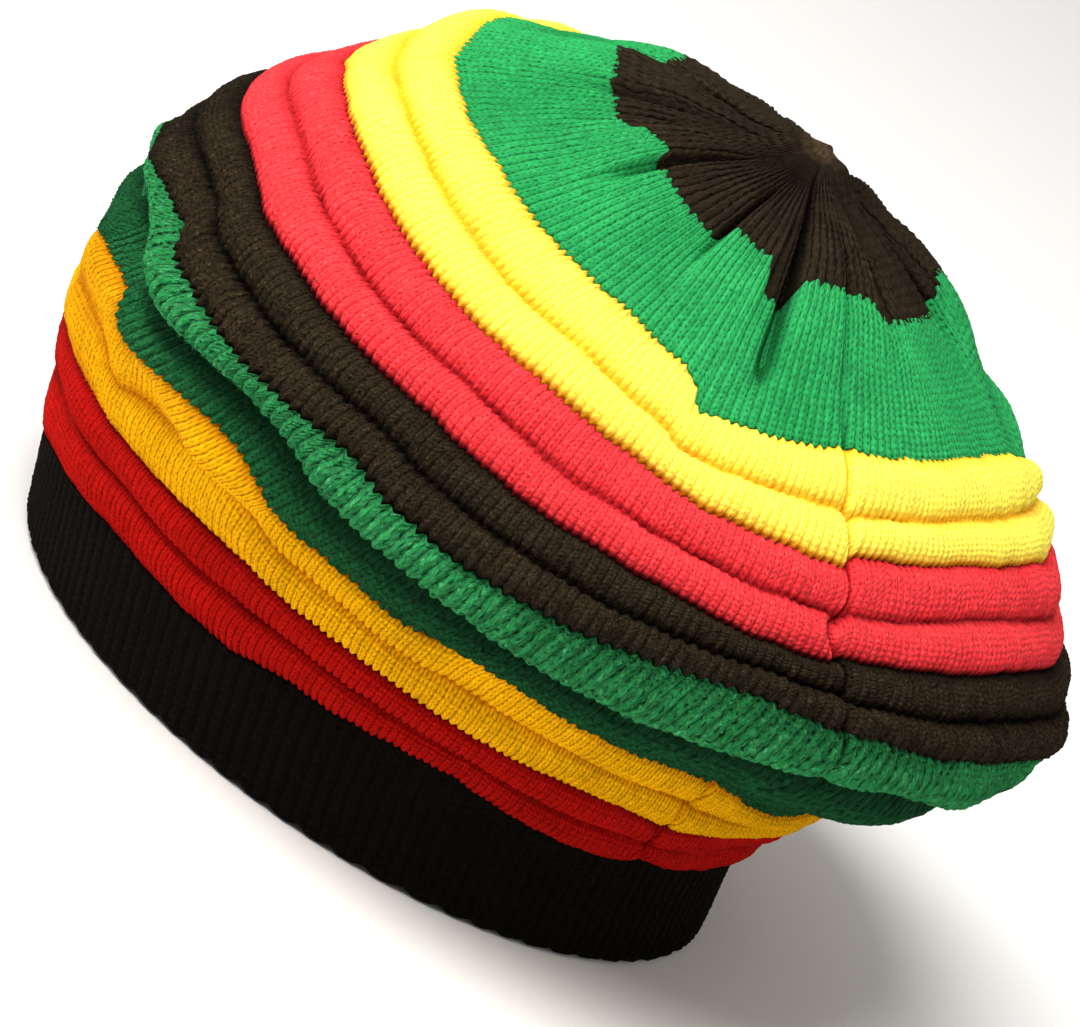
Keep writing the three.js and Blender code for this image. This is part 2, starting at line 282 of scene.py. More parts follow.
def edge_height(index, angle):
    """Where the line at the top of a band runs, in bands, for each angle. The angles are evenly spaced."""
    at = np.full_like(angle, float(index))
    if index not in EDGE_WANDER:
        return at
    shift = round_table(EDGE_WANDER[index], angle)
    window = np.hanning(EDGE_BLUR)
    window /= window.sum()
    half = EDGE_BLUR // 2
    shift = np.convolve(np.concatenate([shift[-half:], shift, shift[:half]]), window, mode="valid")
    count, swing = EDGE_TEETH[index]
    sizes = np.random.default_rng(TOOTH_SEED + index).uniform(*TOOTH_SIZES, count)
    turns = angle / 360 * count
    tooth = sizes[(turns.astype(int)) % count] * np.cos(2 * math.pi * turns)
    drift = wobble(angle, EDGE_SEED + index, EDGE_DRIFT, EDGE_DRIFT_WAVES)
    return at + shift + (swing * tooth + drift) / mm_per_band(angle, at + shift)


# One row for each band. rows is stitches up its outer side, split is where the groove between its two
# rolls runs, from 0 at its lower edge to 1, welt is the rolls' size, wales are the columns of stitches
# round it, relief is how far stitches stand out, against the common size, and steps_in is the rows of
# faces on its inner side
BAND_COLUMNS = ("node", "slot", "rows", "split", "welt", "wales", "relief", "steps_in")
BANDS = [dict(zip(BAND_COLUMNS, band)) for band in (
    ("rim_band", "black_knit", 14, 0.0, 0.0, 164, 1.0, 4),
    ("lower_red_stripe", "deep_red_knit", 16, 0.50, 1.0, 326, 1.0, 3),
    ("lower_gold_stripe", "gold_knit", 16, 0.50, 0.9, 326, 1.0, 3),
    ("lower_green_stripe", "deep_green_knit", 17, 0.0, 0.0, 240, 2.0, 3),
    ("middle_black_stripe", "black_knit", 17, 0.50, 1.1, 320, 1.5, 3),
    ("upper_red_stripe", "red_knit", 17, 0.48, 1.0, 320, 0.9, 3),
    ("upper_yellow_stripe", "yellow_knit", 17, 0.48, 1.0, 270, 0.8, 3),
    ("upper_green_stripe", "green_knit", 20, 0.0, 0.0, 216, 1.0, 3),
    ("crown", "black_knit", 16, 0.0, 0.0, 120, 1.3, 3),
)]
CROWN_SHARES_IN = np.array([0.85, 0.6, 0.3, 0.0])  # the crown's inner rows, which end below its nub

# Gentle scallops of the free edge of the rim
RIM_WAVES = 68
RIM_WAVE_RISE = 1.0      # mm
RIM_WAVE_WANDER = 1.5    # radians
RIM_WANDER_WAVES = (5, 9, 14)
RIM_WAVE_FADE = (0.8, 0.5, 0.2)  # how much of that rise the next rows take

# Stitches in the mesh
RIB_HEIGHT = 0.26        # mm that a column of stitches stands up
HUMP_HEIGHT = 0.16       # and each stitch in it
HUMP_LEAN = 1.2          # radians
LUMP_HEIGHT = 0.16       # mm by which a stitch differs from the next
LUMP_ROWS_MORE = 3       # rows of random heights beyond the last stitch
NUB_PLAIN = (8.7, 8.98)  # stitches fade out between these heights
RIM_PLAIN = (0.0, 0.08)  # and in between these

# Painted shade of the outer side, as a mark: 0 for the full painted shade of a groove, 1 on a lit roll, and
# over 1 on the nub
PLAIN_SHADE = 0.6        # of a plain stripe
RELIEF_SHADE = 0.12      # more for each mm that it stands out
# Painted shade under the fold of the lower green stripe: dark below its line, a little lighter on its lower
# roll, and lighter again at the left
FOLD_SHADE = 0.1
FOLD_SHADE_ENDS = (-0.04, 0.10)  # bands above the fold line
UNDERSIDE = 0.12         # more on the lower roll of the fold
UNDERSIDE_LEFT = 0.28    # and more again at the left
UNDERSIDE_LEFT_ANGLE = 350.0
UNDERSIDE_LEFT_SPREAD = 28.0
UNDERSIDE_STARTS = (0.10, 0.28)  # bands below the fold line
NUB_LIGHT = (8.86, 8.97)
# Painted shade of the inner side
INNER_SHADE = 0.5

# Slits between the pleats: rows of (angle, depth in mm, half width in degrees, from band, to band)
SLITS = [
    (359.3, 3.2, 1.7, 7.45, 8.55), (27.0, 2.8, 1.5, 7.6, 8.5), (51.3, 7.5, 1.8, 7.15, 8.75),
    (68.5, 1.0, 1.2, 7.1, 8.2), (84.0, 3.6, 3.0, 7.75, 8.7), (112.0, 2.0, 3.0, 7.9, 8.7),
    (128.0, 3.0, 3.0, 7.6, 8.7), (161.0, 4.0, 2.5, 7.4, 8.7), (197.0, 3.0, 2.5, 7.5, 8.7),
    (232.5, 4.0, 2.5, 7.4, 8.7), (266.5, 3.0, 2.5, 7.5, 8.7), (300.0, 4.0, 2.5, 7.4, 8.7),
    (328.0, 2.5, 3.0, 7.6, 8.7),
]
SLIT_OPENS = 0.45        # bands over which a slit deepens
SLIT_CLOSES = (-0.1, 0.2)  # bands above its end over which it closes
# Folded layers that lie over their neighbours: rows of (from angle, to angle, mm out)
FLAPS = [
    (343.5, 358.5, 2.4), (28.0, 44.5, 2.6), (52.5, 67.5, 1.8), (69.5, 81.5, 1.2), (129.0, 158.0, 2.0),
    (163.0, 194.0, 1.0), (199.0, 229.0, 0.6), (235.0, 263.0, 0.8), (269.0, 296.0, 1.4),
    (303.0, 325.0, 1.6),
]
FLAP_EDGE = 0.9          # degrees to either side of its edge over which a layer rises
GATHER_STARTS = (7.35, 7.9)
GATHER_ENDS = (8.1, 8.75)
NUB_STARTS = (8.78, 8.93)

# Hollows and humps of the slack fabric: rows of (angle, bands up, degrees wide, bands tall, mm out)
DENTS = [
    (334, 3.72, 7, 0.20, -6.0), (350, 3.25, 8, 0.26, 3.5), (346, 3.95, 8, 0.13, 2.5),
    (8, 3.22, 9, 0.32, 4.5), (330, 3.10, 7, 0.30, 0.8), (45, 3.35, 10, 0.20, 1.0),
    (22, 2.60, 10, 0.30, -1.0), (320, 3.75, 12, 0.30, -4.0), (311, 2.75, 15, 0.75, -5.5),
    (100, 3.30, 17, 0.35, 4.5), (112, 3.92, 11, 0.18, -4.5), (154, 6.65, 12, 0.28, 3.2),
    (136, 5.15, 12, 0.45, -1.6), (128, 4.40, 10, 0.25, 1.4), (290, 7.45, 16, 0.35, -2.0),
    (314, 4.02, 8, 0.15, -2.0),
]
# The fold between the two slack rolls of the lower green stripe: rows of (angle, bands up)
FOLD_LINE = [
    (300, 3.6), (322, 3.85), (331, 3.95), (340, 3.88), (348, 3.69), (356, 3.80), (4, 3.86), (9, 3.87),
    (14, 3.80), (20, 3.76), (30, 3.70), (40, 3.62), (52, 3.54), (64, 3.54), (72, 3.60), (80, 3.66),
    (88, 3.72), (110, 3.66), (180, 3.6),
]
# Parts of that fold: bands above its line, half its height in bands, and mm out
FOLD_LIP = (0.17, 0.15, 3.8)
FOLD_HOLLOW = (-0.03, 0.08, -6.0)
FOLD_ROLL = (-0.34, 0.18, 1.4)
LIP_ENDS = (4.2, 4.45)
FOLD_FADE_ANGLE = 140.0  # the hollow is less deep here
FOLD_FADE_SPREAD = 45.0
FOLD_FADE_SHARE = 0.5
FOLD_WANDER = 0.012      # bands
FOLD_WANDER_WAVES = (17, 29, 43)

# Gentle unevenness of the worn fabric: rows of (mm out, waves round the cap, radians turned in a band)
SLACK_WAVES = [(0.5, 5, 1.7), (0.4, 8, -2.3), (0.3, 13, 4.1)]
SLACK_STARTS = (0.3, 1.5)


def stripe_rolls(share, split, size):
    """Two rolls side by side, with the groove between them at split."""
    warped = np.where(share < split, share / split, 1 + (share - split) / (1 - split)) * 0.5
    return size * ((WELT + GROOVE) * np.abs(np.sin(2 * math.pi * warped)) ** ROLL_POWER - GROOVE)


def seam_line(at):
    """The angle at which the seam runs at each height."""
    return np.interp(at, *np.array(SEAM_LINE, dtype=float).T)


def above_fold(angle, at):
    """How many bands a point lies above the fold line."""
    return at - round_table(FOLD_LINE, angle) - wobble(angle, FOLD_SEED, FOLD_WANDER, FOLD_WANDER_WAVES)


def fold_share(angle):
    """The fold is less deep on the far underside."""
    return 1 - FOLD_FADE_SHARE * bump(turn_from(angle, FOLD_FADE_ANGLE), FOLD_FADE_SPREAD)


def fold_part(above, part):
    place, tall, size = part
    return size * bump(above - place, tall)


def fold_relief(angle, at):
    """The fold of the lower green stripe, the dents, the seam, and the pleats of the top."""
    above = above_fold(angle, at)
    out = fold_part(above, FOLD_LIP) * (1 - smooth_step(at, *LIP_ENDS))
    out += fold_part(above, FOLD_ROLL) + fold_part(above, FOLD_HOLLOW) * fold_share(angle)
    for where, height, wide, tall, size in DENTS:
        out += size * bump(turn_from(angle, where), wide) * bump(at - height, tall)
    out -= SEAM_DEPTH * bump(turn_from(angle, seam_line(at)), SEAM_HALF) * between(at, SEAM_STARTS, SEAM_ENDS)
    for where, depth, wide, low, high in SLITS:
        closes = (high + SLIT_CLOSES[0], high + SLIT_CLOSES[1])
        out -= depth * between(at, (low, low + SLIT_OPENS), closes) * bump(turn_from(angle, where), wide)
    gather = between(at, GATHER_STARTS, GATHER_ENDS)
    for low, high, size in FLAPS:
        half = (high - low) % 360 / 2
        away = np.abs(turn_from(angle, (low + half) % 360))
        out += size * gather * (1 - smooth_step(away, half - FLAP_EDGE, half + FLAP_EDGE))
    return out + NUB_RISE * smooth_step(at, *NUB_STARTS)


def slack(angle, at):
    """Gentle unevenness of the worn fabric, so that no ring is a perfect curve."""
    waves = (size * np.sin(np.radians(angle * count) + at * twist) for size, count, twist in SLACK_WAVES)
    return sum(waves) * smooth_step(at, *SLACK_STARTS)


def stitch_relief(wale, row):
    """Columns of stitches stand up in ridges, and each stitch is a small hump leaning from its middle."""
    ridge = np.cos(2 * math.pi * (wale - 0.5))
    hump = np.cos(2 * math.pi * row + HUMP_LEAN * np.cos(2 * math.pi * wale))
    return RIB_HEIGHT * ridge + HUMP_HEIGHT * hump


def lumps(wale, row, seed):
    """Smooth random heights, one for each stitch, from -1 to 1."""
    rng = np.random.default_rng(seed)
    count = int(round(wale.max())) + 1
    sizes = rng.uniform(-1, 1, (int(row.max()) + LUMP_ROWS_MORE, count))
    sizes[:, -1] = sizes[:, 0]
    left = np.clip(wale.astype(int), 0, count - 2)
    low = row.astype(int)
    across = smooth_step(wale - left, 0, 1)
    up = smooth_step(row - low, 0, 1)
    lower = sizes[low, left] * (1 - across) + sizes[low, left + 1] * across
    upper = sizes[low + 1, left] * (1 - across) + sizes[low + 1, left + 1] * across
    return lower * (1 - up) + upper * up


def band_rolls(index, turn, at, share):
    """How far the two rolls of a stripe stand out, or nothing on a plain one."""
    band = BANDS[index]
    if not band["welt"]:
        return np.zeros_like(at)
    size = band["welt"] * (1 + WELT_WANDER * wobble(turn, WELT_SEED + index, 1, WELT_WAVES))
    size = size * (1 - FLAT_SHARE * bump(turn_from(turn, FLAT_ANGLE), FLAT_SPREAD))
    if band["node"] == "lower_gold_stripe":
        size = size * (1 - FLAT_SHARE * bump(turn_from(turn, GOLD_FLAT_ANGLE), FLAT_SPREAD))
    past_seam = turn_from(turn, seam_line(at))
    jog = SEAM_JOG * np.tanh(past_seam) * bump(past_seam, SEAM_JOG_SPREAD)
    wander = SPLIT_WANDER * wobble(turn, SPLIT_SEED + index, 1, SPLIT_WAVES)
    return stripe_rolls(share, band["split"] + jog + wander, size)


def shade(band, turn, at, large, rolls):
    """How light each point of the outer side is painted: painted shade in grooves, hollows, folds and the
    seam.
    """
    # Painted shade in the grooves between rolls, and in the hollows of a plain stripe
    if band["welt"]:
        mark = (rolls + GROOVE) / (WELT + GROOVE)
    else:
        mark = np.clip(PLAIN_SHADE + RELIEF_SHADE * large, 0, 1)
    # Painted shade under the fold's lip, lighter on the lower roll and more so at the left
    if band["node"] == "lower_green_stripe":
        above = above_fold(turn, at)
        left = bump(turn_from(turn, UNDERSIDE_LEFT_ANGLE), UNDERSIDE_LEFT_SPREAD)
        mark = FOLD_SHADE + (1 - FOLD_SHADE) * smooth_step(above, *FOLD_SHADE_ENDS)
        mark += (UNDERSIDE + UNDERSIDE_LEFT * left) * smooth_step(-above, *UNDERSIDE_STARTS)
    if band["node"] == "crown":
        mark = mark + smooth_step(at, *NUB_LIGHT)
    # Painted shade in the seam's groove
    seam_shade = bump(turn_from(turn, seam_line(at)), SEAM_SHADE_HALF) * between(at, SEAM_STARTS, SEAM_SHADE_ENDS)
    return mark * (1 - seam_shade)


def outer_rows(index, angle):
    """Points up the outer side of a band, with the stitch count and the shade at each."""
    band = BANDS[index]
    low = edge_height(index, angle)
    high = edge_height(index + 1, angle)
    shares = np.linspace(0, 1, band["rows"] * POINTS_PER_STITCH + 1)
    if band["node"] == "crown":
        shares = shares ** CROWN_ROWS_POWER
    share, turn = np.meshgrid(shares, angle, indexing="ij")
    at = low[None, :] + (high - low)[None, :] * share
    large = fold_relief(turn, at) + slack(turn, at)
    rolls = band_rolls(index, turn, at, share)
    wale = turn / 360 * band["wales"]
    row = share * band["rows"]
    stitches = stitch_relief(wale, row) + LUMP_HEIGHT * lumps(wale, row, LUMP_SEED + index)
    small = band["relief"] * stitches * (1 - smooth_step(at, *NUB_PLAIN)) * smooth_step(at, *RIM_PLAIN)
    points = smooth_points(turn, at) + outward(turn, at) * (large + rolls + small)[..., None]
    return points, row, shade(band, turn, at, large, rolls)


def inner_rows(index, angle):
    """Points down the inner side of a band, with the stitch count at each."""
    band = BANDS[index]
    wall = HEM_WALL if band["node"] == "rim_band" else WALL
    low = edge_height(index, angle)
    high = edge_height(index + 1, angle)
    shares = np.linspace(1, 0, band["steps_in"] + 1)
    if band["node"] == "crown":
        shares = CROWN_SHARES_IN
    share, turn = np.meshgrid(shares, angle, indexing="ij")
    at = low[None, :] + (high - low)[None, :] * share
    out = INNER_SHARE * (fold_relief(turn, at) + slack(turn, at)) - wall
    points = smooth_points(turn, at) + outward(turn, at) * out[..., None]
    return points, share * band["rows"]


def round_hem(points):
    """Rolls the lower edge of the rim band in and sets it on the floor."""
    height = points[..., 2]
    near = np.clip(1 - height / HEM_ROUND, 0, 1)
    pull = HEM_ROUND * (1 - np.sqrt(np.clip(1 - near ** 2, 0, 1)))
    away = points[..., :2] - np.array(RIM_MIDDLE)
    away = away / np.linalg.norm(away, axis=-1, keepdims=True)
    points[..., :2] -= away * pull[..., None]
    return points


def ring_mesh(name, rows, stitches, marks, wales, closed, poles=(None, None)):
    """A closed skin through rows of points. stitches and marks hold one value for each point. It closes
    on itself, or else at its poles, which are the points above the first row and the last."""
    count = len(rows)
    around = rows[0].shape[0]
    points = np.concatenate(rows) * MM
    stitch = np.concatenate(stitches)
    mark = np.concatenate(marks)
    first, last = poles
    quads = []
    pairs = count if closed else count - 1
    here = np.arange(around)
    after = (here + 1) % around
    for k in range(pairs):
        a = k * around
        b = ((k + 1) % count) * around
        quads.append(np.stack([a + here, a + after, b + after, b + here], axis=1))
    quads = np.concatenate(quads)
    turns = np.concatenate([here / around * wales] * pairs)
    next_turns = np.concatenate([(here + 1) / around * wales] * pairs)
    loops = quads.ravel()
    starts = np.arange(len(quads)) * 4
    u = np.stack([turns, next_turns, next_turns, turns], axis=1).ravel()
    caps = []
    for pole, row_start, forward in ((first, 0, False), (last, (count - 1) * around, True)):
        if pole is None:
            continue
        points = np.vstack([points, np.array(pole)[None, :] * MM])
        stitch = np.append(stitch, stitch[row_start])
        mark = np.append(mark, mark[row_start])
        tip = np.full(around, len(points) - 1)
        ring = row_start + here
        ring_after = row_start + after
        caps.append(np.stack([ring, ring_after, tip] if forward else [ring_after, ring, tip], axis=1))
    if caps:
        tris = np.concatenate(caps)
        starts = np.concatenate([starts, len(loops) + np.arange(len(tris)) * 3])
        loops = np.concatenate([loops, tris.ravel()])
        u = np.concatenate([u, np.zeros(tris.size)])
    mesh = bpy.data.meshes.new(name)
    mesh.vertices.add(len(points))
    mesh.vertices.foreach_set("co", points.astype(np.float32).ravel())
    mesh.loops.add(len(loops))
    mesh.loops.foreach_set("vertex_index", loops.astype(np.int32))
    mesh.polygons.add(len(starts))
    mesh.polygons.foreach_set("loop_start", starts.astype(np.int32))
    mesh.update(calc_edges=True)
    mesh.polygons.foreach_set("use_smooth", np.ones(len(starts), dtype=bool))
    layer = mesh.uv_layers.new(name="stitches")
    layer.data.foreach_set("uv", np.stack([u, stitch[loops]], axis=1).astype(np.float32).ravel())
    # The marks of painted shade, for the material
    height = mesh.attributes.new("shade_mark", "FLOAT", "POINT")
    height.data.foreach_set("value", mark.astype(np.float32))
    mesh.validate()
    mesh.update()
    piece = bpy.data.objects.new(name, mesh)
    bpy.context.scene.collection.objects.link(piece)
    return piece


def knit_band(index):
    """The mesh of one band: up the outer side and down the inner one."""
    band = BANDS[index]
    angle = np.arange(AROUND) * 360.0 / AROUND
    points, row, mark = outer_rows(index, angle)
    inside, inside_row = inner_rows(index, angle)
    if band["node"] == "rim_band":
        points = round_hem(points)
        phase = np.radians(angle) * RIM_WAVES + wobble(angle, RIM_SEED, RIM_WAVE_WANDER, RIM_WANDER_WAVES)
        rise = RIM_WAVE_RISE * (0.5 + 0.5 * np.cos(phase)) ** 2
        points[0, :, 2] = rise
        points[1:1 + len(RIM_WAVE_FADE), :, 2] += rise * np.array(RIM_WAVE_FADE)[:, None]
        inside[-1, :, 2] = rise
    name = band["node"] + "_knit"
    outer = list(points)
    inner = list(inside)
    marks = list(mark)
    # The inner side is painted half in shade
    inner_marks = [np.full(AROUND, INNER_SHADE) for _ in inner]
    stitches = list(row)
    inner_stitches = list(inside_row)
    if band["node"] != "crown":
        return ring_mesh(name, outer + inner, stitches + inner_stitches, marks + inner_marks,
                         band["wales"], True)
    top = outer[-1].mean(axis=0)
    tip = top + np.array([0, 0, NUB_TIP])
    ceiling = top - np.array([0, 0, CEILING_DROP])
    return ring_mesh(name, inner + outer, inner_stitches + stitches, inner_marks + marks,
                     band["wales"], False, (ceiling, tip))


class Graph:
    """Short ways to add shader nodes to one material."""

    def __init__(self, name):
        self.material = bpy.data.materials.new(name)
        self.material.use_nodes = True
        self.nodes = self.material.node_tree.nodes
        self.links = self.material.node_tree.links
        self.nodes.clear()

    def add(self, kind, **settings):
        node = self.nodes.new(kind)
        for key, value in settings.items():
            setattr(node, key, value)
        return node

    def plug(self, socket, value):
        if isinstance(value, bpy.types.NodeSocket):
            self.links.new(value, socket)
        else:
            socket.default_value = value

    def math(self, operation, *values, clamp=False):
        node = self.add("ShaderNodeMath", operation=operation, use_clamp=clamp)
        for socket, value in zip(node.inputs, values):
            self.plug(socket, value)
        return node.outputs[0]

    def wave(self, turns):
        """Cosine of a count of turns, brought to 0..1."""
        swing = self.math("COSINE", self.math("MULTIPLY", turns, 2 * math.pi))
        return self.math("MULTIPLY_ADD", swing, 0.5, 0.5)

    def range(self, value, low, high, to_low, to_high):
        node = self.add("ShaderNodeMapRange", interpolation_type="SMOOTHSTEP")
        for socket, number in zip(node.inputs, (value, low, high, to_low, to_high)):
            self.plug(socket, number)
        return node.outputs[0]

    def noise(self, vector, scale, detail=2.0, roughness=0.5):
        node = self.add("ShaderNodeTexNoise")
        self.plug(node.inputs["Vector"], vector)
        node.inputs["Scale"].default_value = scale
        node.inputs["Detail"].default_value = detail
        node.inputs["Roughness"].default_value = roughness
        return node.outputs["Fac"]

    def mix(self, share, first, second, blend="MIX"):
        node = self.add("ShaderNodeMix", data_type="RGBA", blend_type=blend)
        self.plug(node.inputs["Factor"], share)
        self.plug(node.inputs["A"], first)
        self.plug(node.inputs["B"], second)
        return node.outputs["Result"]

    def vector(self, x, y, z=0.0):
        node = self.add("ShaderNodeCombineXYZ")
        for socket, value in zip(node.inputs, (x, y, z)):
            self.plug(socket, value)
        return node.outputs[0]


def linear(red, green, blue):
    """A colour given as screen values from 0 to 255."""
    def one(value):
        value /= 255
        return value / 12.92 if value <= 0.04045 else ((value + 0.055) / 1.055) ** 2.4
    return (one(red), one(green), one(blue), 1.0)


# Yarns: the colours of a lit stitch, of the painted shade in the groove between rolls, which also
# shades the fold of the lower green stripe, the seam and the inner side, of the painted shade in the hole
# of a stitch and the slits beside it, and of loose fibres, which are partly their own lighter colour and
# partly painted highlight. Then the mark of painted shade from which the lit colour is whole, how strong
# the columns of stitches, the painted shade of the holes and that of the slits between columns are, how
# much fuzz there is, how uneven the stitches are, and how strong the bump and the sheen are. There is a
# yarn for each band, in the same order
KNIT_COLUMNS = ("yarn", "groove", "hole_shade", "fibre", "full", "ribs", "holes", "slits", "fuzz", "uneven", "bump",
                "sheen")
KNITS = {
    "rim_black": (linear(12, 9, 6), linear(12, 9, 5), linear(6, 4, 2), linear(26, 21, 14),
                  0.75, 1.0, 0.2, 0.3, 0.3, 0.4, 0.6, 0.0),
    # The deep red, gold and deep green yarns are the red, yellow and green yarns made darker: painted shade
    # of the lower stripes
    "deep_red": (linear(178, 15, 10), linear(104, 3, 2), linear(80, 2, 2), linear(214, 46, 32),
                 0.7, 1.0, 0.3, 0.7, 0.3, 0.4, 0.7, 0.05),
    "gold": (linear(243, 175, 4), linear(190, 102, 0), linear(136, 72, 0), linear(255, 204, 20),
             0.7, 1.0, 0.55, 0.8, 0.3, 0.4, 0.7, 0.05),
    "deep_green": (linear(34, 130, 68), linear(10, 42, 23), linear(2, 20, 11), linear(100, 208, 132),
                   0.8, 1.1, 0.8, 1.0, 1.3, 1.0, 1.0, 0.12),
    "black": (linear(44, 36, 25), linear(8, 6, 4), linear(5, 4, 2), linear(96, 80, 56),
              1.1, 0.8, 0.7, 0.6, 1.1, 1.1, 1.0, 0.05),
    "red": (linear(244, 50, 58), linear(136, 3, 14), linear(140, 6, 18), linear(255, 118, 118),
            0.7, 0.8, 0.7, 0.4, 0.8, 0.5, 0.7, 0.2),
    "yellow": (linear(255, 240, 84), linear(232, 156, 0), linear(238, 190, 20), linear(255, 252, 156),
               0.9, 0.7, 0.8, 0.5, 0.6, 0.2, 0.5, 0.1),
    "green": (linear(38, 156, 82), linear(16, 104, 50), linear(6, 70, 34), linear(88, 200, 132),
              0.75, 0.6, 0.8, 0.4, 0.9, 0.5, 0.7, 0.12),
    "crown_black": (linear(37, 30, 21), linear(14, 11, 7), linear(7, 5, 3), linear(84, 68, 50),
                    0.75, 1.0, 0.2, 0.9, 0.6, 0.6, 0.7, 0.04),
}
KNIT_OF = dict(zip((band["node"] for band in BANDS), KNITS))

# Noises of the knit, in patterns a metre
DRIFT_SCALE = 120
JITTER_SCALE = 800
SPECK_SCALE = 2200
PATCH_SCALE = 60
TUFT_SCALE = 420

# Offsets in stitches
JITTER_ACROSS = 0.30
JITTER_ALONG = -0.45
DRIFT_LEAST = 0.3
DRIFT_UNEVEN = 0.5

# One stitch: its two strands, the hole at its foot and the slit beside it
STRAND_ROUND = 0.6
STRAND_RISE = 1.3        # how steeply the strands rise from the foot, in stitches up for each across
HUMP_SHARE = 0.6
HOLE_RANGE = (0.25, 0.80)
SLIT_RANGE = (0.34, 0.47)

# Layers of loose fibres: rows of (turn in radians, place in the noise)
FIBRE_LAYERS = [(0.5, 3.1), (2.0, 7.7), (-0.9, 11.3)]
FIBRE_STRETCH = (4.5, 0.9, 1.0)
FIBRE_SCALE = 1.5
FIBRE_RANGE = (0.53, 0.70)
FIBRE_COLOUR = 0.45      # how much of their colour they lend, partly as painted highlight
# Fibres show only where the painted shade is light, as painted highlight on the tops of rolls
RAISED_RANGE = (0.15, 0.85)
NUB_LIGHT_RANGE = (1.4, 2.0)
NUB_LIGHT_SHARE = 0.5

# How much each pattern adds to the tone and to the relief
TONE_STRENGTH = 0.4
TUFT_TONE = 4.0
HOLE_RELIEF = 0.6
FIBRE_RELIEF = 0.4
SPECK_RELIEF = 0.3
TUFT_RELIEF = 1.6
BUMP_DISTANCE = 0.0010   # metres

KNIT_ROUGHNESS = 0.95
KNIT_SPECULAR = 0.04
SHEEN_ROUGHNESS = 0.5


def stitch_pattern(g, wale, row):
    """The height of a stitch's strands, the hole at its foot and the slit beside it, each from 0 to 1."""
    side = g.math("ABSOLUTE", g.math("SUBTRACT", g.math("FRACT", wale), 0.5))
    strand = g.math("MAXIMUM", g.math("SINE", g.math("MULTIPLY", side, 2 * math.pi)), 0.0)
    hump = g.wave(g.math("MULTIPLY_ADD", side, STRAND_RISE, row))
    lift = g.math("MULTIPLY_ADD", hump, HUMP_SHARE, 1 - HUMP_SHARE)
    strands = g.math("MULTIPLY", g.math("POWER", strand, STRAND_ROUND), lift)
    pit = g.math("MULTIPLY", g.math("SUBTRACT", 1.0, strand), g.math("SUBTRACT", 1.0, hump))
    pit = g.range(pit, *HOLE_RANGE, 0.0, 1.0)
    lower = g.math("MULTIPLY_ADD", hump, -HUMP_SHARE, 1.0)
    slit = g.math("MULTIPLY", g.range(side, *SLIT_RANGE, 0.0, 1.0), lower)
    return strands, pit, slit


def fibre_pattern(g, wale, row):
    """Loose fibres lie every way over the stitches."""
    streaks = None
    for turn, place in FIBRE_LAYERS:
        mapped = g.add("ShaderNodeMapping")
        g.links.new(g.vector(wale, row, place), mapped.inputs["Vector"])
        mapped.inputs["Rotation"].default_value = (0, 0, turn)
        mapped.inputs["Scale"].default_value = FIBRE_STRETCH
        lines = g.range(g.noise(mapped.outputs[0], FIBRE_SCALE, 3, 0.6), *FIBRE_RANGE, 0.0, 1.0)
        streaks = lines if streaks is None else g.math("MAXIMUM", streaks, lines)
    return streaks


